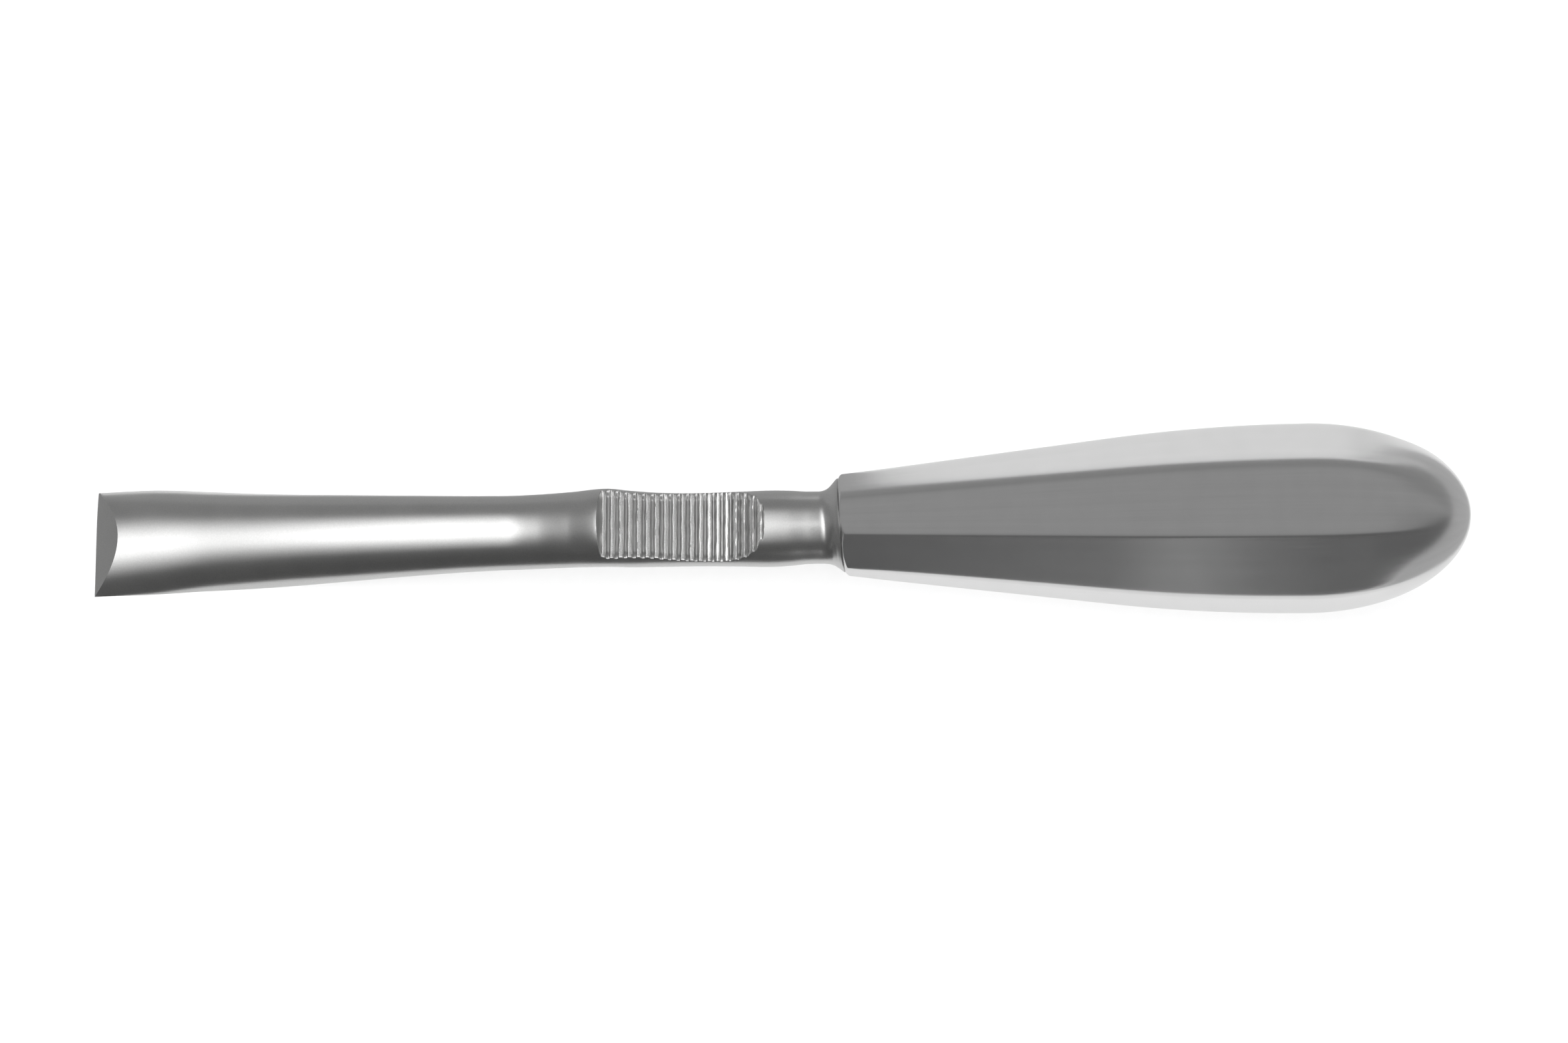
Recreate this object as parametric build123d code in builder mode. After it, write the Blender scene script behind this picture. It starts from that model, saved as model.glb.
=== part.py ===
from build123d import *
from math import asin, cos, pi, radians, sin, sqrt, tan
import os

# Straight dental elevator with a hollow octagonal pear handle, lying on a flat surface.
# Millimetres. The tool's own axis lies in the XZ plane and points from the blade to the
# handle, towards +X. The surface it lies on is z = 0: the flat underside of the blade rests
# there, and so does the lowest facet of the handle, so the axis climbs towards the handle.
# "Station" is the distance from the blade's edge along the tool's axis, and "lift" is the
# distance above that axis, square to it.

# ---- overall ----
overall_length = 152.4
tilt = radians(3.85)

# ---- handle: hollow octagonal pear ----
handle_start = 83.4
belly_station = 134.6
dome_length = overall_length - belly_station
flat_belly = 9.85
flat_taper = radians(6.44)
flat_arc = 194.0
flat_dome_length = 19.3
round_belly = 10.6
round_taper = radians(6.93)
round_arc = 180.0
mouth_radius = 5.2
scallop_length = 0.9
scallop_rise = 0.60
wall = 1.0
facet_pairs = 4

# ---- blade and shank: (station, radius, height of the centre above the surface) ----
blade_sections = (
    (-3.0, 8.10, -5.60),
    (0.0, 7.57, -4.72),
    (3.0, 7.17, -4.00),
    (6.0, 6.83, -3.33),
    (12.6, 5.89, -1.59),
    (20.5, 5.22, 0.20),
    (28.0, 4.83, 1.62),
    (36.0, 4.46, 3.00),
)
# ---- shank, neck and flared bolster behind it: (station, radius, lift of the centre) ----
shank_sections = (
    (44.0, 4.17, -0.04),
    (47.0, 4.12, 0.10),
    (50.0, 4.13, 0.46),
    (53.5, 4.18, 1.10),
    (57.5, 4.32, 1.86),
    (60.2, 4.23, 1.00),
    (63.2, 4.11, 0.36),
    (67.0, 4.05, 0.05),
    (72.0, 4.14, 0.0),
    (75.6, 4.23, -0.08),
    (77.6, 4.16, -0.02),
    (81.0, 4.00, 0.05),
    (81.7, 4.08, 0.0),
    (82.2, 4.27, 0.0),
    (82.7, 4.66, 0.0),
    (83.1, 5.03, 0.0),
)
# the forging sits a little to one side of the handle's axis, less so at the neck,
# and flares a little further out at the blade's edge
shank_side = -0.36
neck_side = -0.25
side_turn_station = 44.0
neck_station = 81.0
tip_flare = -0.40
flare_length = 14.0

# ---- end bevel on the convex side, and the shallow hollow in the underside ----
bevel_angle = 46.5
bevel_skew = 0.8
tip_half_width = 5.92
hollow_radius = 6.5
hollow_depth = 0.9
hollow_middle = 19.0
hollow_half_length = 18.5

# ---- ribbed finger rest ----
rib_count = 19
rib_pitch = 0.9555
first_rib = 57.4
groove_depth = 0.34
lip_station = 56.85
ramp_slope = radians(16.0)
ramp_end_station = 64.0
ramp_end_lift = 2.10
dip_radius = 18.2
run_out_station = 70.8
run_out_radius = 5.5
clear_lift = 8.0
rest_half_width = 7.0

# ---- tang and what holds it ----
tang_radius = 3.0
tang_tip_radius = 2.2
tang_taper_start = 97.0
tang_taper_end = 111.0
tang_end = 116.0
braze_length = 1.0
collar_end = 95.0
running_gap = 0.03
pin_station = 89.5
pin_radius = 0.9
pin_length = 9.6
support_start = 112.5
support_end = 114.5

# ---- where the axis lies, so that belly and blade both rest on z = 0 ----
axis_start_z = (flat_belly - flat_arc) * cos(tilt) - belly_station * sin(tilt) + flat_arc
dome_reach = sqrt((dome_length * cos(tilt)) ** 2 + (round_belly * sin(tilt)) ** 2)
tip_x = -(belly_station * cos(tilt) + dome_reach - axis_start_z * tan(tilt)) / 2
axis_start_x = tip_x - axis_start_z * tan(tilt)
axis_direction = Vector(cos(tilt), 0, sin(tilt))
profile_plane = Plane(
    origin=(axis_start_x, 0, axis_start_z), x_dir=axis_direction, z_dir=(0, -1, 0)
)
tool_axis = Axis(profile_plane.origin, axis_direction)
parting_plane = Plane(profile_plane.origin, x_dir=axis_direction, z_dir=profile_plane.y_dir)


def station_plane(station, lift=0.0, side=0.0):
    """Plane square to the tool's axis at a station, with its origin off the axis."""
    origin = profile_plane.from_local_coords((station, lift, -side))
    return Plane(origin=origin, x_dir=(0, 1, 0), z_dir=axis_direction)


def forging_side(station):
    """Sideways offset of the forging, taken back to nothing in the bolster's flare."""
    if station > neck_station:
        return neck_side * (handle_start - station) / (handle_start - neck_station)
    drift = max(station - side_turn_station, 0.0) / (neck_station - side_turn_station)
    flare = max(1 - max(station, 0.0) / flare_length, 0.0)
    return shank_side + (neck_side - shank_side) * drift + tip_flare * flare**2


def rolled_plane(roll):
    """Profile plane turned about the tool's axis."""
    normal = profile_plane.z_dir * cos(roll) + profile_plane.y_dir * sin(roll)
    return Plane(profile_plane.origin, x_dir=axis_direction, z_dir=normal)


def lift_of_height(station, height):
    """Lift of a point at a station that stands at a height above the surface."""
    return (height - axis_start_z - station * sin(tilt)) / cos(tilt)


def rest_floor(station):
    """Lift of the finger rest's floor: a ramp, a long dip and a tight run-out."""
    dip_station = ramp_end_station + dip_radius * sin(ramp_slope)
    dip_floor = ramp_end_lift - dip_radius * (1 - cos(ramp_slope))
    if station < ramp_end_station:
        return ramp_end_lift + (ramp_end_station - station) * tan(ramp_slope)
    if station < run_out_station:
        return dip_floor + dip_radius * (1 - cos(asin((station - dip_station) / dip_radius)))
    start_angle = asin((run_out_station - dip_station) / dip_radius)
    start_floor = dip_floor + dip_radius * (1 - cos(start_angle))
    reach = (station - run_out_station) / run_out_radius + sin(start_angle)
    return start_floor + run_out_radius * (cos(start_angle) - cos(asin(min(reach, 1.0))))


def pear_outline(start, belly, taper, arc, dome):
    """Half outline of the handle: straight taper, tangent belly arc, elliptical dome."""
    tangent_station = belly_station - arc * sin(taper)
    tangent_radius = belly - arc * (1 - cos(taper))
    start_radius = tangent_radius - (tangent_station - start) * tan(taper)
    taper_degrees = taper * 180 / pi
    with BuildLine() as outline:
        Polyline((start, 0), (start, start_radius), (tangent_station, tangent_radius))
        CenterArc((belly_station, belly - arc), arc, 90, taper_degrees)
        EllipticalCenterArc((belly_station, 0), dome, belly, start_angle=0, arc_size=90)
        Line((belly_station + dome, 0), (start, 0))
    return outline.edges()


def octagonal_pear(start, inset):
    """Handle's solid form from a station to the dome's end, pulled in all round by inset."""
    with BuildPart() as pear:
        with BuildSketch(profile_plane):
            make_face(
                pear_outline(
                    start, round_belly - inset, round_taper, round_arc - inset, dome_length - inset
                )
            )
        revolve(axis=tool_axis)
        for pair in range(facet_pairs):
            with BuildSketch(rolled_plane(pair * pi / facet_pairs)):
                make_face(
                    pear_outline(
                        start, flat_belly - inset, flat_taper, flat_arc - inset, flat_dome_length - inset
                    )
                )
                mirror(about=Plane.XZ)
            extrude(amount=round_belly, both=True, mode=Mode.INTERSECT)
    return pear.part


# ---- working end: blade, shank, finger rest, neck, bolster and tang in one forging ----
with BuildPart() as working_end:
    for section_station, section_radius, centre_height in blade_sections:
        centre_lift = lift_of_height(section_station, centre_height)
        with BuildSketch(station_plane(section_station, centre_lift, forging_side(section_station))):
            Circle(section_radius)
    for section_station, section_radius, centre_lift in shank_sections:
        with BuildSketch(station_plane(section_station, centre_lift, forging_side(section_station))):
            Circle(section_radius)
    with BuildSketch(station_plane(handle_start)):
        Circle(mouth_radius)
    loft(ruled=True)
    # tang behind the bolster
    with BuildSketch(profile_plane):
        Polygon(
            (neck_station, 0),
            (neck_station, tang_radius),
            (tang_taper_start, tang_radius),
            (tang_taper_end, tang_tip_radius),
            (tang_end, tang_tip_radius),
            (tang_end, 0),
            align=None,
        )
    revolve(axis=tool_axis)
    # flat underside that the blade rests on
    split(bisect_by=Plane.XY, keep=Keep.TOP)
    # bevel ground on the convex side, down to the cutting edge
    tip_middle = forging_side(0.0)
    bevel_origin = Vector(tip_x, tip_middle - tip_half_width, 0)
    bevel_along = Vector(sin(radians(bevel_skew)), cos(radians(bevel_skew)), 0)
    bevel_up = Vector(cos(radians(bevel_angle)), 0, sin(radians(bevel_angle)))
    split(bisect_by=Plane(bevel_origin, x_dir=bevel_along, z_dir=bevel_along.cross(bevel_up)), keep=Keep.TOP)
    # shallow hollow along the underside, deepest in the middle of its length
    ring_radius = hollow_half_length**2 / (2 * hollow_depth) - hollow_radius
    hollow_height = hollow_depth - hollow_radius - ring_radius
    hollow_side = forging_side(hollow_middle)
    hollow_centre = (tip_x + hollow_middle, hollow_side, hollow_height)
    with Locations(Plane(hollow_centre, x_dir=(1, 0, 0), z_dir=(0, 1, 0))):
        Torus(ring_radius, hollow_radius, mode=Mode.SUBTRACT)
    # finger rest cut across the shank, with its ribs
    rib_stations = [first_rib + rib * rib_pitch for rib in range(rib_count)]
    ribbed_floor = []
    for rib_station in rib_stations:
        groove_station = rib_station - rib_pitch / 2
        ribbed_floor.append((groove_station, rest_floor(groove_station) - groove_depth))
        ribbed_floor.append((rib_station, rest_floor(rib_station)))
    rest_end = rib_stations[-1] + rib_pitch
    with BuildSketch(profile_plane):
        Polygon((lip_station, clear_lift), *ribbed_floor, (rest_end, clear_lift), align=None)
    extrude(amount=rest_half_width, both=True, mode=Mode.SUBTRACT)
    # hole for the pin that locks the tang
    with BuildSketch(Plane(profile_plane.from_local_coords((pin_station, 0, 0)), z_dir=(0, 1, 0))):
        Circle(pin_radius + running_gap)
    extrude(amount=pin_length, both=True, mode=Mode.SUBTRACT)
working_end.part.label = "working_end"

# ---- handle shells: two pressed halves, welded along the middle of the side facets ----
hollow_form = octagonal_pear(handle_start - wall, wall)
with BuildPart() as whole_shell:
    add(octagonal_pear(handle_start, 0))
    add(hollow_form, mode=Mode.SUBTRACT)
    # turned front edge, which leaves a scallop on each facet
    with BuildSketch(profile_plane):
        Polygon(
            (handle_start, mouth_radius),
            (handle_start + scallop_length, mouth_radius + scallop_rise),
            (handle_start, mouth_radius + scallop_rise),
            align=None,
        )
    revolve(axis=tool_axis, mode=Mode.SUBTRACT)

with BuildPart() as handle_shell_upper:
    add(whole_shell.part)
    split(bisect_by=parting_plane, keep=Keep.TOP)
handle_shell_upper.part.label = "handle_shell_upper"

with BuildPart() as handle_shell_lower:
    add(whole_shell.part)
    split(bisect_by=parting_plane, keep=Keep.BOTTOM)
handle_shell_lower.part.label = "handle_shell_lower"

# ---- braze ring between the bolster, the tang and the shells' mouth ----
ring_inner = tang_radius + running_gap
with BuildPart() as braze_ring:
    add(hollow_form)
    with BuildSketch(station_plane(handle_start)):
        Circle(round_belly)
        Circle(ring_inner, mode=Mode.SUBTRACT)
    extrude(amount=braze_length, mode=Mode.INTERSECT)
braze_ring.part.label = "braze_ring"

# ---- collar that fills the mouth behind the braze and carries the tang ----
collar_start = handle_start + braze_length
with BuildPart() as tang_collar:
    add(hollow_form)
    with BuildSketch(station_plane(collar_start)):
        Circle(round_belly)
        Circle(ring_inner, mode=Mode.SUBTRACT)
    extrude(amount=collar_end - collar_start, mode=Mode.INTERSECT)
    with BuildSketch(Plane(profile_plane.from_local_coords((pin_station, 0, 0)), z_dir=(0, 1, 0))):
        Circle(pin_radius + running_gap)
    extrude(amount=pin_length, both=True, mode=Mode.SUBTRACT)
tang_collar.part.label = "tang_collar"

# ---- cross pin through collar and tang, which takes the twist ----
with BuildPart() as tang_pin:
    with BuildSketch(Plane(profile_plane.from_local_coords((pin_station, 0, 0)), z_dir=(0, 1, 0))):
        Circle(pin_radius)
    extrude(amount=pin_length / 2, both=True)
    chamfer(tang_pin.edges().filter_by(GeomType.CIRCLE), 0.2)
tang_pin.part.label = "tang_pin"

# ---- disc that centres the tang's far end in the hollow handle ----
with BuildPart() as tang_end_support:
    add(hollow_form)
    with BuildSketch(station_plane(support_start)):
        Circle(round_belly)
        Circle(tang_tip_radius + running_gap, mode=Mode.SUBTRACT)
    extrude(amount=support_end - support_start, mode=Mode.INTERSECT)
tang_end_support.part.label = "tang_end_support"

os.makedirs("parts", exist_ok=True)
export_step(working_end.part, "parts/working_end.step")
export_step(handle_shell_upper.part, "parts/handle_shell_upper.step")
export_step(handle_shell_lower.part, "parts/handle_shell_lower.step")
export_step(braze_ring.part, "parts/braze_ring.step")
export_step(tang_collar.part, "parts/tang_collar.step")
export_step(tang_pin.part, "parts/tang_pin.step")
export_step(tang_end_support.part, "parts/tang_end_support.step")
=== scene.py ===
import math

import bpy
import numpy as np
from mathutils import Matrix, Vector


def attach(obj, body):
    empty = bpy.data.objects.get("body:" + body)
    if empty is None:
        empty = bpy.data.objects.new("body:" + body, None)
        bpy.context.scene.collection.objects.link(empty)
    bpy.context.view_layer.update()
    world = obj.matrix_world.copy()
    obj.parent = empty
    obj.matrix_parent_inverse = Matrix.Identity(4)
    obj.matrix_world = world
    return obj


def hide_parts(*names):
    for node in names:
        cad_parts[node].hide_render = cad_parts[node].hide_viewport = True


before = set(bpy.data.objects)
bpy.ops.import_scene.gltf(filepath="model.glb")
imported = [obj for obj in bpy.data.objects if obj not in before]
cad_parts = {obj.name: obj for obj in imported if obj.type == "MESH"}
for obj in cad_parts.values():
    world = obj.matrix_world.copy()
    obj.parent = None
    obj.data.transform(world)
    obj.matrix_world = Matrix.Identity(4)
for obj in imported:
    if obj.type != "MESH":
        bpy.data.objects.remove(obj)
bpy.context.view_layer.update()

# Dental elevator, lying on its blade and on the lowest facet of its handle.
# Sizes are millimetres, turned into metres where a mesh is made. "Station" is the distance
# from the blade's edge along the tool's own axis, "lift" the distance above that axis and
# "side" the distance from it towards +Y, as in the CAD model.
MM = 0.001

# ---- overall pose of the tool's axis ----
OVERALL = 152.4
TILT = math.radians(3.85)

# ---- handle ----
HANDLE_START = 83.4
BELLY_STATION = 134.6
DOME_LENGTH = OVERALL - BELLY_STATION
FLAT_BELLY = 9.85
FLAT_ARC = 194.0
ROUND_BELLY = 10.6
ROUND_TAPER = math.radians(6.93)
ROUND_ARC = 180.0
WALL = 1.0
FACETS = 8
FACET_HALF_ANGLE = math.pi / FACETS
FACET_EDGE_RADIUS = 0.65
FACET_PROUD = 1.0045
FACET_CRISPNESS = 9.1
FACET_LEAST_RADIUS = 3.0
# facet edges softer than the rest: degrees from the top towards +Y, extra radius
SOFT_EDGES = ((22.5, 2.2), (-67.5, 0.9), (67.5, 0.5), (112.5, 0.5), (-112.5, 0.4), (157.5, 0.4))
SOFT_EDGE_FADE = (math.radians(12), math.radians(32))
DOME_BLEND = (140.0, 149.5)
DOME_DRIFT = 0.2
DOME_DRIFT_SPAN = (144.0, 149.5)
# turned front edge of the handle, which leaves a scallop on each facet
MOUTH_RADIUS = 5.13
MOUTH_RISE = 0.72
MOUTH_ROUNDING = 0.42
MOUTH_SLOPE = 0.3
MOUTH_CORNER = 0.12
MOUTH_SKEW = -0.065
MOUTH_SKEW_START = 78.8
MOUTH_FADE = 6.0

# ---- working end ----
SHANK_SIDE = -0.36
NECK_SIDE = -0.25
SIDE_TURN_STATION = 44.0
NECK_STATION = 81.0
TIP_FLARE = -0.40
FLARE_LENGTH = 14.0
# blade: station, radius, height of the section's centre above the table
BLADE = (
    (-3.0, 8.10, -5.60),
    (0.0, 7.57, -4.72),
    (3.0, 7.17, -4.00),
    (6.0, 6.83, -3.33),
    (12.6, 5.89, -1.59),
    (20.5, 5.22, 0.20),
    (28.0, 4.83, 1.62),
    (36.0, 4.46, 3.00),
)
# shank, neck and bolster: station, radius, lift of the section's centre
SHANK = (
    (44.0, 4.17, -0.04),
    (47.0, 4.12, 0.10),
    (50.0, 4.13, 0.46),
    (53.5, 4.18, 1.10),
    (57.5, 4.32, 1.86),
    (60.2, 4.23, 1.00),
    (63.2, 4.11, 0.36),
    (67.0, 4.05, 0.05),
    (72.0, 4.14, 0.0),
    (75.6, 4.23, -0.08),
    (77.6, 4.16, -0.02),
    (79.8, 4.01, 0.08),
    (81.1, 4.00, 0.05),
    (81.7, 4.08, 0.0),
    (82.2, 4.27, 0.0),
    (82.7, 4.66, 0.0),
    (83.1, 5.03, 0.0),
    (83.33, 5.19, 0.0),
    (83.4, 5.13, 0.0),
)
# tang, hidden in the handle: station, radius
TANG = ((83.45, 3.0), (97.0, 3.0), (111.0, 2.2), (116.0, 2.2))
# end bevel on the convex side
BEVEL_ANGLE = math.radians(46.5)
BEVEL_BULGE = 0.10
BEVEL_FADE = 9.0
CORNER_SWEEP = 0.12
TIP_HALF_WIDTH = 5.92
TIP_THICKNESS = 3.2
# shallow hollow in the underside
HOLLOW_RADIUS = 6.5
HOLLOW_DEPTH = 0.9
HOLLOW_MIDDLE = 19.0
HOLLOW_HALF_LENGTH = 18.5

# ---- finger rest ----
LIP_STATION = 56.85
LIP_WALL_SLOPE = 7.0
LIP_CLEARANCE = 0.3
REST_WALL_TOP = 6.05
REST_END = 75.05
REST_END_FLOOR = 4.2
REST_EDGE_ROUNDING = 0.07
CLEAR_LIFT = 9.0
RAMP_SLOPE = math.radians(16.0)
RAMP_END_STATION = 64.0
RAMP_END_LIFT = 2.10
DIP_RADIUS = 18.2
RUN_OUT_STATION = 70.8
RUN_OUT_RADIUS = 5.5
RIB_COUNT = 19
RIB_PITCH = 0.9555
FIRST_RIB = 57.4
GROOVE_DEPTH = 0.34
GROOVE_PLACE = 0.44
GROOVE_FOOT = 0.44
# share of the ribs' height lost towards the rest's side edges, and where that starts
RIB_RUN_OUT = 0.5
RIB_RUN_OUT_START = 0.80
# slight unevenness: spread of the ribs' places and heights, range of their crests' widths,
# and waves along a rib, each with a size and a rate
RIB_SEED = 7
RIB_SHIFT_SPREAD = 0.018
RIB_HEIGHT_SPREAD = 0.025
RIB_CREST_WIDTH = (0.07, 0.12)
RIB_WANDER = ((0.012, 1.3), (0.006, 3.7))
CREST_WAVE = (0.02, 2.3)
# crests are worn smoother and painted lighter as a highlight, and grooves are painted darker as
# shade, both fading at the rest's side edges
GROOVE_SHADE = 0.66
WEAR_AND_SHADE_FADE = (0.82, 0.97)
WEAR_AND_SHADE_MARGIN = 0.02

# ---- mesh density ----
TOP_POINTS, FLANK_POINTS, UNDER_POINTS = 81, 44, 40
RING_PASSES = 8
CAP_RINGS = 10
CAP_HEIGHT = 1.2
# keeps the run-out arc and the inner dome short of their upright ends
ARC_LIMIT = 0.9999
INNER_DOME_LIMIT = 0.01
# spans of stations along the forging: start, end, step
FORGING_SPANS = (
    (0.0, 2.0, 0.08),
    (2.0, 14.0, 0.3),
    (14.0, 46.0, 0.6),
    (46.0, 56.4, 0.25),
    (56.4, 57.0, 0.025),
    (57.0, 75.4, 0.04),
    (75.4, 81.0, 0.2),
    (81.0, 83.4, 0.06),
)
# spans behind the handle's front edge: start, end, step
MOUTH_SPANS = ((0.0, 2.0, 0.06), (2.0, 8.0, 0.3))
TAPER_START = 8.0
TAPER_STEP = 1.0
TAPER_END_GAP = 0.5
DOME_RINGS = 70
SHELL_ANGLES = 257
INNER_START = 0.4
INNER_LEAST_RADIUS = 0.3
INNER_TAPER_RINGS = 13
INNER_DOME_RINGS = 12
INNER_DOME_ANGLES = (0.1, 1.45)
SHARP_ANGLE = math.radians(28.0)

# ---- finishes: colours, and marks per metre of tool, or per radian round its axis ----
SATIN_COLOR = (0.46, 0.46, 0.457)
SATIN_ROUGHNESS = 0.29
SATIN_GRAIN = (6500.0, 6500.0, 6500.0)
SATIN_CLOUD = (260.0, 260.0, 260.0)
# how far the rib value lightens worn crests as a painted highlight and darkens grooves as painted
# shade
WEAR_SHEEN_AND_SHADE = 0.55
WORN_SMOOTHER = 0.7
HANDLE_COLOR = (0.57, 0.57, 0.57)
HANDLE_ROUGHNESS = 0.25
BRUSH_GRAIN = (110.0, 70.0, 1.0)
BRUSH_BANDS = (16.0, 9.0, 1.0)
BRUSH_PATCHES = (420.0, 2.2, 1.0)
ROUGHNESS_SPREAD = 0.015
INNER_COLOR = (0.50, 0.50, 0.50)
TURNING_MARKS = (5000.0, 0.6, 1.0)
BRAZE_COLOR = (0.68, 0.66, 0.58)
BRAZE_SKIN = (900.0, 900.0, 900.0)
PAPER_COLOR = (0.87, 0.87, 0.87)
PAPER_ROUGHNESS = 0.9
PAPER_FIBRE = (700.0, 900.0, 700.0)

# ---- studio, in metres and watts ----
FLOOR_HALF = 0.9
FLOOR_DROP = 0.0001
CARD_DROP = 0.00005
# glowing sheets on the table that only the steel mirrors, as a painted reflection of the floor,
# the far one a painted shadow of the tool: name, corners, brightness
CARDS = (
    ("tip_card", ((-0.85, -0.5), (-0.0757, -0.12), (-0.0757, 0.12), (-0.85, 0.5)), 0.42),
    ("near_card", ((-0.4, -0.85), (0.008, -0.85), (0.008, -0.0125), (-0.078, -0.0066)), 0.13),
    ("far_shadow_card", ((-0.078, 0.0062), (0.008, 0.0075), (-0.06, 0.85), (-0.4, 0.85)), 0.50),
    ("end_card", ((0.083, -0.12), (0.85, -0.5), (0.85, 0.5), (0.083, 0.12)), 0.60),
)
# lamps: name, place, size, power, the point it faces
LAMPS = (
    ("strip_softbox", (-0.305, -0.10, 1.0), (0.33, 2.8), 12.2, (-0.305, -0.10, 0.0)),
    ("table_light", (0.0, 0.10, 0.9), (1.4, 1.4), 14.8, (0.0, 0.10, 0.0)),
    ("rib_light", (0.62, -0.05, 1.0), (0.3, 1.4), 3.4, (-0.02, 0.0, 0.0)),
    ("side_window", (-0.05, -0.76, 0.21), (0.05, 0.30), 0.028, (0.047, 0.0, 0.01)),
)
# brightness of the strip softbox from its +X side to its -X side and across it, and of the
# room from the viewer's side over the top to the far side
STRIP_ALONG = (
    (0.00, 0.60),
    (0.12, 1.00),
    (0.55, 1.00),
    (0.80, 0.66),
    (1.00, 0.25),
)
STRIP_ACROSS = (
    (0.00, 0.04),
    (0.04, 0.12),
    (0.19, 0.30),
    (0.30, 0.55),
    (0.38, 0.80),
    (0.45, 1.00),
    (0.56, 1.00),
    (0.64, 0.80),
    (0.71, 0.65),
    (0.80, 0.40),
    (0.92, 0.12),
    (1.00, 0.00),
)
SKY = (
    (0.00, 0.13),
    (0.12, 0.16),
    (0.25, 0.18),
    (0.45, 0.36),
    (0.60, 0.44),
    (0.75, 0.34),
    (1.00, 0.38),
)
CAMERA_ELEVATION = math.radians(77.5)
CAMERA_DISTANCE = 0.577
CAMERA_TARGET = Vector((0.000766, 0.000377, 0.007))
CAMERA_LENS = 120.05
SENSOR_WIDTH = 36.0

# ---- the axis in the row frame, as the CAD model works it out ----
AXIS_START_Z = (
    (FLAT_BELLY - FLAT_ARC) * math.cos(TILT) - BELLY_STATION * math.sin(TILT) + FLAT_ARC
)
DOME_REACH = math.hypot(DOME_LENGTH * math.cos(TILT), ROUND_BELLY * math.sin(TILT))
TIP_X = -(BELLY_STATION * math.cos(TILT) + DOME_REACH - AXIS_START_Z * math.tan(TILT)) / 2
AXIS_START_X = TIP_X - AXIS_START_Z * math.tan(TILT)


def to_row(station, side, lift):
    """Row-frame points, in metres, of tool-frame stations, sides and lifts."""
    x = AXIS_START_X + station * math.cos(TILT) - lift * math.sin(TILT)
    z = AXIS_START_Z + station * math.sin(TILT) + lift * math.cos(TILT)
    return np.stack(np.broadcast_arrays(x, side, z), axis=-1) * MM


def lift_of_height(station, height):
    return (height - AXIS_START_Z - station * math.sin(TILT)) / math.cos(TILT)


def height_of_lift(station, lift):
    return AXIS_START_Z + station * math.sin(TILT) + lift * math.cos(TILT)


def smoothstep(low, high, value):
    t = np.clip((value - low) / (high - low), 0.0, 1.0)
    return t * t * (3.0 - 2.0 * t)


def smooth_min(a, b, radius):
    """The smaller of a and b, with the corner between them rounded."""
    h = np.clip(0.5 + 0.5 * (b - a) / radius, 0.0, 1.0)
    return b + (a - b) * h - radius * h * (1.0 - h)


def flowing(xs, ys, x):
    """Monotone cubic through the points (xs, ys), so that sections flow without ripples."""
    xs, ys, x = np.asarray(xs, float), np.asarray(ys, float), np.asarray(x, float)
    step = np.diff(xs)
    slope = np.diff(ys) / step
    tangent = np.zeros_like(ys)
    tangent[0], tangent[-1] = slope[0], slope[-1]
    for i in range(1, len(ys) - 1):
        if slope[i - 1] * slope[i] > 0:
            a, b = 2 * step[i] + step[i - 1], step[i] + 2 * step[i - 1]
            tangent[i] = (a + b) / (a / slope[i - 1] + b / slope[i])
    i = np.clip(np.searchsorted(xs, x) - 1, 0, len(step) - 1)
    t = (x - xs[i]) / step[i]
    return (
        ys[i] * (1 + 2 * t) * (1 - t) ** 2
        + tangent[i] * step[i] * t * (1 - t) ** 2
        + ys[i + 1] * t * t * (3 - 2 * t)
        + tangent[i + 1] * step[i] * t * t * (t - 1)
    )


# ------------------------------------------------------------------ mesh building
def new_piece(name, points, faces, material):
    mesh = bpy.data.meshes.new(name)
    mesh.from_pydata([tuple(p) for p in points], [], faces)
    mesh.validate()
    mesh.update()
    mesh.shade_smooth()
    mesh.set_sharp_from_angle(angle=SHARP_ANGLE)
    piece = bpy.data.objects.new(name, mesh)
    bpy.context.scene.collection.objects.link(piece)
    mesh.materials.append(material)
    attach(piece, "root")
    return piece


def strip_faces(first_point, ring_count, ring_size, closed=True):
    """Quads between rings of points that follow each other in the vertex list."""
    faces = []
    steps = ring_size if closed else ring_size - 1
    for ring in range(ring_count - 1):
        a = first_point + ring * ring_size
        b = a + ring_size
        for i in range(steps):
            j = (i + 1) % ring_size
            faces.append((a + i, a + j, b + j, b + i))
    return faces


def fan_faces(ring_start, ring_size, centre, flip=False):
    """Triangles from a closed ring of points to a centre point."""
    faces = []
    for i in range(ring_size):
        a, b = ring_start + i, ring_start + (i + 1) % ring_size
        faces.append((b, a, centre) if flip else (a, b, centre))
    return faces


# ------------------------------------------------------------------ working end
SECTIONS = [(s, r, lift_of_height(s, h)) for s, r, h in BLADE] + list(SHANK)
SECTION_S, SECTION_R, SECTION_LIFT = (np.array(column) for column in zip(*SECTIONS))


def forging_side(station):
    """Sideways offset of the forging, taken back to nothing in the bolster's flare."""
    drift = np.clip((station - SIDE_TURN_STATION) / (NECK_STATION - SIDE_TURN_STATION), 0, 1)
    flare = np.clip(1 - station / FLARE_LENGTH, 0, 1.0)
    offset = SHANK_SIDE + (NECK_SIDE - SHANK_SIDE) * drift + TIP_FLARE * flare**2
    return offset * (1 - smoothstep(NECK_STATION, HANDLE_START, station))


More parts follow.
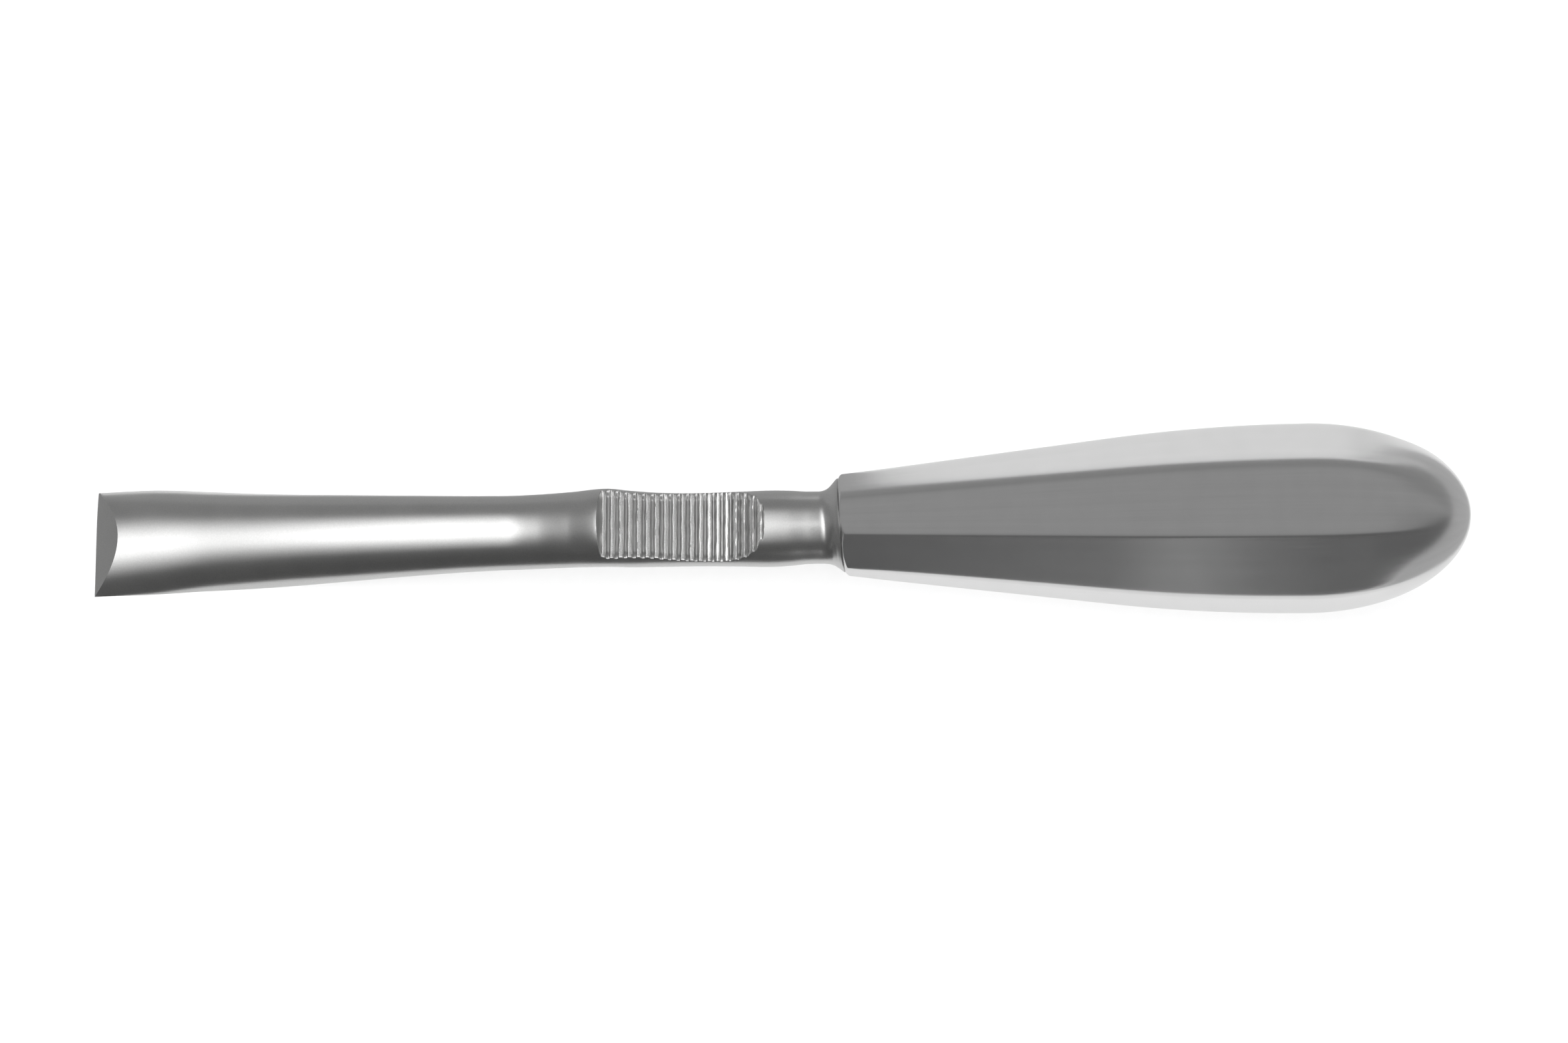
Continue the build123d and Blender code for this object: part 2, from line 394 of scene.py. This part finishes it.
def rest_floor(station):
    """Lift of the finger rest's floor without its ribs; far above the shank elsewhere."""
    dip_station = RAMP_END_STATION + DIP_RADIUS * math.sin(RAMP_SLOPE)
    dip_floor = RAMP_END_LIFT - DIP_RADIUS * (1 - math.cos(RAMP_SLOPE))
    start_angle = math.asin((RUN_OUT_STATION - dip_station) / DIP_RADIUS)
    start_floor = dip_floor + DIP_RADIUS * (1 - math.cos(start_angle))
    ramp = RAMP_END_LIFT + (RAMP_END_STATION - station) * math.tan(RAMP_SLOPE)
    reach = np.clip((station - dip_station) / DIP_RADIUS, -1, 1)
    dip = dip_floor + DIP_RADIUS * (1 - np.sqrt(1 - reach**2))
    out = (station - RUN_OUT_STATION) / RUN_OUT_RADIUS + math.sin(start_angle)
    out = np.clip(out, 0, ARC_LIMIT)
    run_out = start_floor + RUN_OUT_RADIUS * (math.cos(start_angle) - np.sqrt(1 - out**2))
    floor = np.where(station < RUN_OUT_STATION, dip, run_out)
    floor = np.where(station < RAMP_END_STATION, ramp, floor)
    floor = np.maximum(floor, REST_WALL_TOP - (station - LIP_STATION) * LIP_WALL_SLOPE)
    end_wall = (station - REST_END) * LIP_WALL_SLOPE + REST_END_FLOOR
    floor = np.where(station > REST_END, np.maximum(floor, end_wall), floor)
    return np.where(station < LIP_STATION - LIP_CLEARANCE, CLEAR_LIFT, floor)


rng = np.random.default_rng(RIB_SEED)
RIB_SHIFT = rng.normal(0.0, RIB_SHIFT_SPREAD, RIB_COUNT)
RIB_HEIGHT = rng.normal(0.0, RIB_HEIGHT_SPREAD, RIB_COUNT)
RIB_CREST = rng.uniform(*RIB_CREST_WIDTH, RIB_COUNT)
RIB_WAVE = rng.uniform(0.0, 2 * math.pi, (RIB_COUNT, 3))


def rib_drop(station, side):
    """How far the ribbed surface lies under the rest's floor: 0 on a crest."""
    place = (station - FIRST_RIB) / RIB_PITCH
    index = np.clip(np.floor(place + 1 - GROOVE_PLACE), 0, RIB_COUNT - 1).astype(int)
    wave = RIB_WAVE[index]
    wander = sum(
        size * np.sin(rate * side + wave[..., k]) for k, (size, rate) in enumerate(RIB_WANDER)
    )
    away = place - index - (RIB_SHIFT[index] + wander) / RIB_PITCH
    away = np.where(away > 0, away / GROOVE_PLACE, -away / (1 - GROOVE_PLACE)) / 2
    crest = RIB_CREST[index] + CREST_WAVE[0] * np.sin(CREST_WAVE[1] * side + wave[..., 2])
    drop = smoothstep(crest, GROOVE_FOOT, away)
    return GROOVE_DEPTH * drop - RIB_HEIGHT[index] * (1.0 - drop)


RING_SIZE = TOP_POINTS + 2 * FLANK_POINTS + UNDER_POINTS
TOP = slice(0, TOP_POINTS)
NEAR_FLANK = slice(TOP_POINTS, TOP_POINTS + FLANK_POINTS)
UNDER = slice(TOP_POINTS + FLANK_POINTS, RING_SIZE - FLANK_POINTS)
FAR_FLANK = slice(RING_SIZE - FLANK_POINTS, RING_SIZE)
# least and greatest cosine of the angle at which the rest and the underside cut a section
REST_COSINES = (math.cos(math.radians(80.0)), math.cos(math.radians(50.0)))
UNDER_COSINES = (-0.999, math.cos(math.radians(11.5)))


def ring_angles(top_angle, under_angle):
    """Angles of a ring's points from the top, with corners at the rest and the underside."""
    flank = np.linspace(0, 1, FLANK_POINTS + 2)[1:-1]
    turn = math.pi - under_angle - top_angle
    angle = np.empty(RING_SIZE)
    angle[TOP] = np.arcsin(np.sin(top_angle[TOP]) * np.linspace(-1, 1, TOP_POINTS))
    angle[NEAR_FLANK] = top_angle[NEAR_FLANK] + turn[NEAR_FLANK] * flank
    under = np.sin(under_angle[UNDER]) * np.linspace(1, -1, UNDER_POINTS)
    angle[UNDER] = math.pi - np.arcsin(under)
    angle[FAR_FLANK] = -(top_angle[FAR_FLANK] + turn[FAR_FLANK] * flank[::-1])
    return angle


def forging_section(station):
    """Sides, lifts and rib wear with a painted crest highlight and painted groove shade, of a ring
    whose points each stand at their own station.
    """
    r = flowing(SECTION_S, SECTION_R, station)
    centre = flowing(SECTION_S, SECTION_LIFT, station)
    floor = rest_floor(station)
    under = lift_of_height(station, 0.0)
    top_angle = np.arccos(np.clip((floor - centre) / r, *REST_COSINES))
    under_angle = np.arccos(np.clip((centre - under) / r, *UNDER_COSINES))
    angle = ring_angles(top_angle, under_angle)
    side = r * np.sin(angle)
    lift = centre + r * np.cos(angle)
    upper = np.cos(angle) > 0
    # the rest, cut across the shank, with its ribs running out at the side edges
    reach = np.abs(side) / (r * np.sin(top_angle))
    full_drop = rib_drop(station, side)
    drop = full_drop * (1.0 - RIB_RUN_OUT * smoothstep(RIB_RUN_OUT_START, 1.0, reach))
    floor_cut = floor - drop
    on_rest = upper & (lift > floor_cut - WEAR_AND_SHADE_MARGIN)
    on_rest = on_rest & (station > LIP_STATION) & (station < REST_END)
    # painted light: the rib value is 1 on a crest, lightening it as a painted highlight, and falls
    # below 0 in a groove, darkening it as painted shade
    worn_sheen_and_shade = 1.0 - (1.0 + GROOVE_SHADE) * full_drop / GROOVE_DEPTH
    rib_wear_sheen_and_shade = np.where(on_rest, worn_sheen_and_shade * (1.0 - smoothstep(*WEAR_AND_SHADE_FADE, reach)), 0.0)
    lift = np.where(upper, smooth_min(lift, floor_cut, REST_EDGE_ROUNDING), lift)
    # the underside: the plane of the table, with its shallow hollow
    along = (station - HOLLOW_MIDDLE) / HOLLOW_HALF_LENGTH
    hollow = HOLLOW_DEPTH * (1 - along**2) - HOLLOW_RADIUS
    scoop = hollow + np.sqrt(np.maximum(HOLLOW_RADIUS**2 - side**2, 0))
    lift = np.maximum(lift, lift_of_height(station, np.maximum(scoop, 0.0)))
    return side, lift, rib_wear_sheen_and_shade


def bevel_station(side, height):
    """Station of the bevel's face at a side and a height above the table."""
    part = np.clip(height / TIP_THICKNESS, 0, 1.1)
    face = height / math.tan(BEVEL_ANGLE) - BEVEL_BULGE * 4 * part * (1 - part)
    corner = CORNER_SWEEP * np.clip(side / TIP_HALF_WIDTH, 0, 1) ** 3 * np.exp(-height)
    return face + corner


def forging_ring(start):
    """One ring of the forging, leaning with the bevel in front and with the mouth behind."""
    lean = 1.0 - smoothstep(0.0, BEVEL_FADE, start)
    station = np.full(RING_SIZE, float(start))
    for _ in range(RING_PASSES if lean > 0 else 1):
        side, lift, rib_wear_sheen_and_shade = forging_section(station)
        if lean > 0:
            station = start + lean * bevel_station(side, height_of_lift(station, lift))
    shift = MOUTH_SKEW * side * smoothstep(MOUTH_SKEW_START, HANDLE_START, start)
    return station, station + shift, side, lift, rib_wear_sheen_and_shade


def forging_stations():
    stations = []
    for low, high, step in FORGING_SPANS:
        stations += list(np.arange(low, high, step))
    return stations + [HANDLE_START]


def build_working_end(material):
    """Blade, shank, ribbed rest, neck, bolster and tang as one closed skin."""
    points, rib_wear_sheen_and_shade = [], []
    # bevel face: rings that grow from its middle to the cutting edge
    edge_station, _, edge_side, edge_lift, _ = forging_ring(0.0)
    edge_height = height_of_lift(edge_station, edge_lift)
    for k in range(1, CAP_RINGS + 1):
        scale = k / (CAP_RINGS + 1.0)
        side = edge_side * scale
        height = CAP_HEIGHT + (edge_height - CAP_HEIGHT) * scale
        station = bevel_station(side, height)
        lift = lift_of_height(station, height)
        points.append(to_row(station, side + forging_side(station), lift))
        rib_wear_sheen_and_shade.append(np.zeros(RING_SIZE))
    for start in forging_stations():
        section, station, side, lift, worn_sheen_and_shade = forging_ring(start)
        points.append(to_row(station, side + forging_side(section), lift))
        rib_wear_sheen_and_shade.append(worn_sheen_and_shade)
    angle = np.arctan2(side, lift)
    for station, radius in TANG:
        points.append(to_row(station, radius * np.sin(angle), radius * np.cos(angle)))
        rib_wear_sheen_and_shade.append(np.zeros(RING_SIZE))
    ring_count = len(points)
    faces = strip_faces(0, ring_count, RING_SIZE)
    front = ring_count * RING_SIZE
    centre = bevel_station(0.0, CAP_HEIGHT)
    front_point = to_row(centre, forging_side(centre), lift_of_height(centre, CAP_HEIGHT))
    back_point = to_row(TANG[-1][0], 0.0, 0.0)
    points = np.vstack([*points, front_point[None], back_point[None]])
    faces += fan_faces(0, RING_SIZE, front, flip=True)
    faces += fan_faces((ring_count - 1) * RING_SIZE, RING_SIZE, front + 1)
    piece = new_piece("forged_working_end", points, faces, material)
    # rib wear, with the painted crest highlight and painted groove shade, stored per point for the
    # finish
    attribute = piece.data.attributes.new("rib_wear_sheen_and_shade", "FLOAT", "POINT")
    attribute.data.foreach_set("value", np.concatenate([*rib_wear_sheen_and_shade, np.zeros(2)]).astype(np.float32))
    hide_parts("working_end")
    return piece


# ------------------------------------------------------------------ handle shells
def round_radius(station):
    """Radius over the facets' edges: straight taper, belly arc, elliptical dome."""
    tangent_station = BELLY_STATION - ROUND_ARC * math.sin(ROUND_TAPER)
    tangent_radius = ROUND_BELLY - ROUND_ARC * (1 - math.cos(ROUND_TAPER))
    taper = tangent_radius - (tangent_station - station) * math.tan(ROUND_TAPER)
    reach = np.clip(BELLY_STATION - station, 0, ROUND_ARC)
    arc = ROUND_BELLY - ROUND_ARC + np.sqrt(ROUND_ARC**2 - reach**2)
    along = np.clip((station - BELLY_STATION) / DOME_LENGTH, 0, 1)
    dome = ROUND_BELLY * np.sqrt(1 - along**2)
    return np.where(station < tangent_station, taper, np.where(station < BELLY_STATION, arc, dome))


def edge_rounding(angle):
    """Radius of the nearest facet edge, larger at the softer edges."""
    radius = FACET_EDGE_RADIUS
    for edge, extra in SOFT_EDGES:
        turn = angle - math.radians(edge)
        away = np.abs(np.arctan2(np.sin(turn), np.cos(turn)))
        radius = radius + extra * (1 - smoothstep(*SOFT_EDGE_FADE, away))
    return radius


def facet_shape(angle, radius):
    """Section of the rounded octagon, as a share of the radius over its edges."""
    power = FACET_CRISPNESS * np.maximum(radius, FACET_LEAST_RADIUS) / edge_rounding(angle)
    reach = math.cos(FACET_HALF_ANGLE)
    total = 0.0
    for facet in range(FACETS):
        toward = np.cos(angle - 2 * facet * FACET_HALF_ANGLE)
        total = total + (np.maximum(toward, 1e-9) / reach) ** power
    return total ** (-1.0 / power) * FACET_PROUD


def shell_radius(angle, station):
    """Outer radius of the handle: octagon, round at the dome and drawn in at the mouth."""
    radius = round_radius(station)
    octagon = radius * facet_shape(angle, radius)
    full = octagon + (radius - octagon) * smoothstep(*DOME_BLEND, station)
    mouth = MOUTH_RADIUS + MOUTH_RISE * (1 - np.exp((HANDLE_START - station) / MOUTH_ROUNDING))
    turned = smooth_min(full, mouth + (station - HANDLE_START) * MOUTH_SLOPE, MOUTH_CORNER)
    return np.where(station < HANDLE_START + MOUTH_FADE, turned, full)


def dome_side(station):
    """Sideways offset of the skin, which leaves the handle's axis a little at the dome."""
    return DOME_DRIFT * smoothstep(*DOME_DRIFT_SPAN, station)


def shell_stations():
    """Stations of the outer skin's rings: dense at the turned mouth and over the dome."""
    front = [HANDLE_START + s for span in MOUTH_SPANS for s in np.arange(*span)]
    taper_end = BELLY_STATION - TAPER_END_GAP
    taper = list(np.arange(HANDLE_START + TAPER_START, taper_end, TAPER_STEP))
    turns = 0.5 * math.pi * np.linspace(0, 1, DOME_RINGS)
    dome = [BELLY_STATION + DOME_LENGTH * math.sin(turn) for turn in turns]
    return front + taper + dome[:-1]


def inner_rings(angle):
    """Rings of points on the hollow's skin, one wall inside the outer skin."""
    hollow_length = DOME_LENGTH - WALL
    turns = np.linspace(*INNER_DOME_ANGLES, INNER_DOME_RINGS)
    stations = list(np.linspace(HANDLE_START + INNER_START, BELLY_STATION, INNER_TAPER_RINGS))
    stations += [BELLY_STATION + hollow_length * math.sin(turn) for turn in turns]
    rings = []
    for s in stations:
        radius = np.maximum(shell_radius(angle, s) - WALL, INNER_LEAST_RADIUS)
        if s > BELLY_STATION:
            along = s - BELLY_STATION
            radius = radius * math.sqrt(max(1 - (along / hollow_length) ** 2, INNER_DOME_LIMIT))
            radius = radius / math.sqrt(1 - (along / DOME_LENGTH) ** 2)
        rings.append(to_row(s, radius * np.sin(angle), radius * np.cos(angle)))
    return rings


def outer_rings(angle):
    """Rings of points on the outer skin, skewed at the mouth and drifting at the dome."""
    rings = []
    for s in shell_stations():
        radius = shell_radius(angle, s)
        side = radius * np.sin(angle)
        station = s + MOUTH_SKEW * side * (1 - smoothstep(0, MOUTH_FADE, s - HANDLE_START))
        rings.append(to_row(station, side + dome_side(s), radius * np.cos(angle)))
    return rings


def build_shell(name, node, first_angle, material):
    """Half of the hollow handle: outer skin, inner skin, weld faces and mouth."""
    angle = first_angle + np.linspace(0, math.pi, SHELL_ANGLES)
    outer, inner = outer_rings(angle), inner_rings(angle)
    n = SHELL_ANGLES
    outer_count, inner_count = len(outer), len(inner)
    base = outer_count * n
    end_outer = base + inner_count * n
    end_inner = end_outer + 1
    outer_pole = to_row(OVERALL, dome_side(OVERALL), 0.0)
    inner_pole = to_row(OVERALL - WALL, 0.0, 0.0)
    points = np.vstack([*outer, *inner, outer_pole[None], inner_pole[None]])
    faces = strip_faces(0, outer_count, n, closed=False)
    faces += [tuple(reversed(f)) for f in strip_faces(base, inner_count, n, closed=False)]
    # the dome's ends, outside and inside
    last = base - n
    faces += [(last + i, last + i + 1, end_outer) for i in range(n - 1)]
    last_inner = end_outer - n
    faces += [(last_inner + i + 1, last_inner + i, end_inner) for i in range(n - 1)]
    # mouth face
    faces += [(base + i, base + i + 1, i + 1, i) for i in range(n - 1)]
    # weld faces: outer edge to inner edge on both sides, as one polygon each side of the pole
    left_out = [k * n for k in range(outer_count)] + [end_outer]
    left_in = [base + k * n for k in range(inner_count)] + [end_inner]
    right_out = [k * n + n - 1 for k in range(outer_count)] + [end_outer]
    right_in = [base + k * n + n - 1 for k in range(inner_count)] + [end_inner]
    faces.append(tuple(left_out + left_in[::-1]))
    faces.append(tuple(right_in + right_out[::-1]))
    piece = new_piece(name, points, faces, material)
    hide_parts(node)
    return piece


# ------------------------------------------------------------------ materials
class Finish:
    """A procedural material, with the node steps that the finishes share."""

    def __init__(self, name, color, metallic=1.0, roughness=0.3):
        self.color = color
        self.material = bpy.data.materials.new(name)
        self.material.use_nodes = True
        self.nodes = self.material.node_tree.nodes
        self.links = self.material.node_tree.links
        self.shader = self.nodes["Principled BSDF"]
        self.shader.inputs["Base Color"].default_value = (*color, 1.0)
        self.shader.inputs["Metallic"].default_value = metallic
        self.shader.inputs["Roughness"].default_value = roughness
        self.place, self.rolled = self.tool_place()

    def tool_place(self):
        """Position on the tool as it lies, and along its axis with the angle round it."""
        axis_drop = AXIS_START_Z * math.cos(TILT) - AXIS_START_X * math.sin(TILT)
        place = self.nodes.new("ShaderNodeTexCoord")
        turn = self.nodes.new("ShaderNodeMapping")
        turn.inputs["Rotation"].default_value = (0.0, TILT, 0.0)
        turn.inputs["Location"].default_value = (0.0, 0.0, -axis_drop * MM)
        self.links.new(place.outputs["Object"], turn.inputs["Vector"])
        split = self.nodes.new("ShaderNodeSeparateXYZ")
        self.links.new(turn.outputs["Vector"], split.inputs[0])
        angle = self.nodes.new("ShaderNodeMath")
        angle.operation = "ARCTAN2"
        self.links.new(split.outputs["Y"], angle.inputs[0])
        self.links.new(split.outputs["Z"], angle.inputs[1])
        rolled = self.nodes.new("ShaderNodeCombineXYZ")
        self.links.new(split.outputs["X"], rolled.inputs["X"])
        self.links.new(angle.outputs[0], rolled.inputs["Y"])
        return place.outputs["Object"], rolled.outputs["Vector"]

    def noise(self, place, marks, detail=2.0):
        """Noise with this many marks per metre, or per radian, in each direction."""
        scaled = self.nodes.new("ShaderNodeVectorMath")
        scaled.operation = "MULTIPLY"
        scaled.inputs[1].default_value = marks
        self.links.new(place, scaled.inputs[0])
        texture = self.nodes.new("ShaderNodeTexNoise")
        texture.inputs["Scale"].default_value = 1.0
        texture.inputs["Detail"].default_value = detail
        self.links.new(scaled.outputs["Vector"], texture.inputs["Vector"])
        return texture.outputs["Fac"]

    def spread(self, value, low, high):
        """Maps the middle range of a noise to the range from low to high."""
        reach = self.nodes.new("ShaderNodeMapRange")
        reach.inputs["From Min"].default_value = 0.3
        reach.inputs["From Max"].default_value = 0.7
        reach.inputs["To Min"].default_value = low
        reach.inputs["To Max"].default_value = high
        self.links.new(value, reach.inputs["Value"])
        return reach.outputs["Result"]

    def around(self, value, middle, reach):
        return self.spread(value, middle - reach, middle + reach)

    def product(self, a, b):
        joined = self.nodes.new("ShaderNodeMath")
        joined.operation = "MULTIPLY"
        self.links.new(a, joined.inputs[0])
        self.links.new(b, joined.inputs[1])
        return joined.outputs[0]

    def tint(self, level):
        """Base colour scaled by a level, so that the finish varies in brightness only."""
        scaled = self.nodes.new("ShaderNodeVectorMath")
        scaled.operation = "SCALE"
        scaled.inputs[0].default_value = self.color
        self.links.new(level, scaled.inputs["Scale"])
        self.links.new(scaled.outputs["Vector"], self.shader.inputs["Base Color"])

    def roughen(self, value):
        self.links.new(value, self.shader.inputs["Roughness"])

    def bump(self, height, distance, strength):
        relief = self.nodes.new("ShaderNodeBump")
        relief.inputs["Strength"].default_value = strength
        relief.inputs["Distance"].default_value = distance
        self.links.new(height, relief.inputs["Height"])
        self.links.new(relief.outputs["Normal"], self.shader.inputs["Normal"])


def satin_forged_steel():
    """Bead-blasted steel: fine even grain, with the ribs' crests worn smoother and painted lighter
    as a highlight, and their grooves painted darker as shade.
    """
    finish = Finish("satin_forged_steel", SATIN_COLOR)
    grain = finish.noise(finish.place, SATIN_GRAIN)
    cloud = finish.noise(finish.place, SATIN_CLOUD, detail=4.0)
    level = finish.product(finish.around(grain, 1.0, 0.05), finish.around(cloud, 1.0, 0.025))
    worn_sheen_and_shade = finish.nodes.new("ShaderNodeAttribute")
    worn_sheen_and_shade.attribute_name = "rib_wear_sheen_and_shade"
    # colour level from the rib value: painted highlight on the crests, painted shade in the
    # grooves
    rib_wear_sheen_and_shade = finish.nodes.new("ShaderNodeMath")
    rib_wear_sheen_and_shade.operation = "MULTIPLY_ADD"
    rib_wear_sheen_and_shade.inputs[1].default_value = WEAR_SHEEN_AND_SHADE
    rib_wear_sheen_and_shade.inputs[2].default_value = 1.0
    finish.links.new(worn_sheen_and_shade.outputs["Fac"], rib_wear_sheen_and_shade.inputs[0])
    finish.tint(finish.product(level, rib_wear_sheen_and_shade.outputs[0]))
    polish = finish.nodes.new("ShaderNodeMapRange")
    polish.inputs["To Min"].default_value = 1.0
    polish.inputs["To Max"].default_value = WORN_SMOOTHER
    finish.links.new(worn_sheen_and_shade.outputs["Fac"], polish.inputs["Value"])
    rough = finish.around(cloud, SATIN_ROUGHNESS, ROUGHNESS_SPREAD)
    finish.roughen(finish.product(rough, polish.outputs["Result"]))
    finish.bump(grain, 0.000012, 0.22)
    return finish.material


def brushed_handle_steel():
    """Steel brushed along the handle, with faint cloudy patches."""
    finish = Finish("brushed_handle_steel", HANDLE_COLOR)
    grain = finish.noise(finish.rolled, BRUSH_GRAIN)
    bands = finish.noise(finish.rolled, BRUSH_BANDS)
    patches = finish.noise(finish.rolled, BRUSH_PATCHES, detail=3.0)
    level = finish.product(finish.around(grain, 1.0, 0.015), finish.around(bands, 1.0, 0.02))
    finish.tint(finish.product(level, finish.around(patches, 1.0, 0.015)))
    finish.roughen(finish.around(grain, HANDLE_ROUGHNESS, ROUGHNESS_SPREAD))
    finish.bump(grain, 0.000006, 0.09)
    return finish.material


def turned_inner_steel():
    """Fine turning marks round the axis, for the parts inside the handle."""
    finish = Finish("turned_inner_steel", INNER_COLOR)
    rings = finish.noise(finish.rolled, TURNING_MARKS)
    finish.tint(finish.spread(rings, 0.92, 1.08))
    finish.roughen(finish.spread(rings, 0.32, 0.46))
    finish.bump(rings, 0.00001, 0.4)
    return finish.material


def braze_filler():
    """Pale brass that flowed and froze with a slightly uneven skin."""
    finish = Finish("braze_filler", BRAZE_COLOR)
    skin = finish.noise(finish.place, BRAZE_SKIN, detail=4.0)
    finish.tint(finish.spread(skin, 0.9, 1.08))
    finish.roughen(finish.spread(skin, 0.28, 0.5))
    finish.bump(skin, 0.00003, 0.5)
    return finish.material


def floor_paper():
    """Pale matt paper with a faint fibre."""
    finish = Finish("floor_paper", PAPER_COLOR, metallic=0.0, roughness=PAPER_ROUGHNESS)
    fibre = finish.noise(finish.place, PAPER_FIBRE, detail=3.0)
    finish.tint(finish.spread(fibre, 0.995, 1.005))
    finish.bump(fibre, 0.00002, 0.1)
    return finish.material


handle_material = brushed_handle_steel()
inner_material = turned_inner_steel()
forging = build_working_end(satin_forged_steel())
handle_halves = (
    build_shell("handle_half_upper", "handle_shell_upper", -math.pi / 2, handle_material),
    build_shell("handle_half_lower", "handle_shell_lower", math.pi / 2, handle_material),
)
hidden = (
    ("braze_ring", braze_filler()),
    ("tang_collar", inner_material),
    ("tang_pin", inner_material),
    ("tang_end_support", inner_material),
)
for node, material in hidden:
    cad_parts[node].data.materials.clear()
    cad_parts[node].data.materials.append(material)


# ------------------------------------------------------------------ floor and cards
def flat_sheet(name, corners, drop, material):
    """Flat sheet lying just under the tool."""
    mesh = bpy.data.meshes.new(name)
    mesh.from_pydata([(x, y, 0.0) for x, y in corners], [], [(0, 1, 2, 3)])
    mesh.materials.append(material)
    sheet = bpy.data.objects.new(name, mesh)
    sheet.location.z = -drop
    bpy.context.scene.collection.objects.link(sheet)
    return sheet


def shade_card(name, corners, level):
    """Glowing sheet on the table, a painted reflection that shows only where the steel mirrors it.
    """
    material = bpy.data.materials.new(name)
    material.use_nodes = True
    shader = material.node_tree.nodes["Principled BSDF"]
    shader.inputs["Base Color"].default_value = (0.0, 0.0, 0.0, 1.0)
    # the sheet glows at a fixed brightness rather than being lit: a painted reflection
    shader.inputs["Emission Color"].default_value = (1.0, 1.0, 1.0, 1.0)
    shader.inputs["Emission Strength"].default_value = level
    shader.inputs["Specular IOR Level"].default_value = 0.0
    card = flat_sheet(name, corners, CARD_DROP, material)
    card.visible_camera = False
    card.visible_diffuse = False
    card.visible_shadow = False


floor_corners = [(FLOOR_HALF * x, FLOOR_HALF * y) for x, y in ((-1, -1), (1, -1), (1, 1), (-1, 1))]
floor = flat_sheet("floor", floor_corners, FLOOR_DROP, floor_paper())
for card_name, card_corners, card_level in CARDS:
    shade_card(card_name, card_corners, card_level)


# ------------------------------------------------------------------ light
def area_light(name, place, size, power, aim, lit_pieces):
    """Rectangular lamp that lights these pieces alone, as a shaded lamp would."""
    data = bpy.data.lights.new(name, "AREA")
    data.shape = "RECTANGLE"
    data.size, data.size_y = size
    data.energy = power
    lamp = bpy.data.objects.new(name, data)
    lamp.location = place
    toward = Vector(aim) - Vector(place)
    lamp.rotation_euler = toward.to_track_quat("-Z", "Y").to_euler()
    bpy.context.scene.collection.objects.link(lamp)
    group = bpy.data.collections.new(name + "_receivers")
    for piece in lit_pieces:
        group.objects.link(piece)
    lamp.light_linking.receiver_collection = group
    return lamp


def fill_ramp(ramp, stops):
    ramp.color_ramp.interpolation = "EASE"
    points = ramp.color_ramp.elements
    while len(points) < len(stops):
        points.new(0.5)
    for point, (place, level) in zip(points, stops):
        point.position = place
        point.color = (level, level, level, 1.0)


def fade_strip(lamp, along, across):
    """Gives the lamp a bright middle: its brightness follows the stops along each side."""
    data = lamp.data
    data.use_nodes = True
    nodes, links = data.node_tree.nodes, data.node_tree.links
    place = nodes.new("ShaderNodeNewGeometry")
    split = nodes.new("ShaderNodeSeparateXYZ")
    links.new(place.outputs["Parametric"], split.inputs[0])
    level = nodes.new("ShaderNodeVectorMath")
    level.operation = "MULTIPLY"
    for index, (output, stops) in enumerate((("X", along), ("Y", across))):
        ramp = nodes.new("ShaderNodeValToRGB")
        fill_ramp(ramp, stops)
        links.new(split.outputs[output], ramp.inputs[0])
        links.new(ramp.outputs[0], level.inputs[index])
    links.new(level.outputs["Vector"], nodes["Emission"].inputs["Color"])


def studio_world():
    """Dim room round the table, darkest towards the viewer; the backdrop itself is white."""
    world = bpy.data.worlds.new("studio")
    bpy.context.scene.world = world
    world.use_nodes = True
    nodes, links = world.node_tree.nodes, world.node_tree.links
    room = nodes["Background"]
    coordinate = nodes.new("ShaderNodeTexCoord")
    split = nodes.new("ShaderNodeSeparateXYZ")
    links.new(coordinate.outputs["Generated"], split.inputs[0])
    flip = nodes.new("ShaderNodeMath")
    flip.operation = "MULTIPLY"
    flip.inputs[1].default_value = -1.0
    links.new(split.outputs["Y"], flip.inputs[0])
    turn = nodes.new("ShaderNodeMath")
    turn.operation = "ARCTAN2"
    links.new(split.outputs["Z"], turn.inputs[0])
    links.new(flip.outputs[0], turn.inputs[1])
    share = nodes.new("ShaderNodeMath")
    share.operation = "DIVIDE"
    share.inputs[1].default_value = math.pi
    links.new(turn.outputs[0], share.inputs[0])
    ramp = nodes.new("ShaderNodeValToRGB")
    fill_ramp(ramp, SKY)
    links.new(share.outputs[0], ramp.inputs[0])
    links.new(ramp.outputs[0], room.inputs["Color"])
    seen = nodes.new("ShaderNodeBackground")
    seen.inputs["Color"].default_value = (1.0, 1.0, 1.0, 1.0)
    path = nodes.new("ShaderNodeLightPath")
    mix = nodes.new("ShaderNodeMixShader")
    links.new(path.outputs["Is Camera Ray"], mix.inputs[0])
    links.new(room.outputs[0], mix.inputs[1])
    links.new(seen.outputs[0], mix.inputs[2])
    links.new(mix.outputs[0], nodes["World Output"].inputs[0])


studio_world()
lit_by = {
    "strip_softbox": (forging,),
    "table_light": (floor,),
    "rib_light": (forging,),
    "side_window": handle_halves,
}
lamps = {lamp[0]: area_light(*lamp, lit_by[lamp[0]]) for lamp in LAMPS}
fade_strip(lamps["strip_softbox"], STRIP_ALONG, STRIP_ACROSS)
lamps["table_light"].data.use_shadow = False

# ------------------------------------------------------------------ camera
camera_data = bpy.data.cameras.new("camera")
camera_data.lens = CAMERA_LENS
camera_data.sensor_width = SENSOR_WIDTH
camera = bpy.data.objects.new("camera", camera_data)
back = Vector((0.0, -math.cos(CAMERA_ELEVATION), math.sin(CAMERA_ELEVATION)))
right = Vector((1.0, 0.0, 0.0))
camera.location = CAMERA_TARGET + back * CAMERA_DISTANCE
camera.rotation_euler = Matrix((right, back.cross(right), back)).transposed().to_euler()
bpy.context.scene.collection.objects.link(camera)
bpy.context.scene.camera = camera
bpy.context.scene.view_settings.view_transform = "Standard"
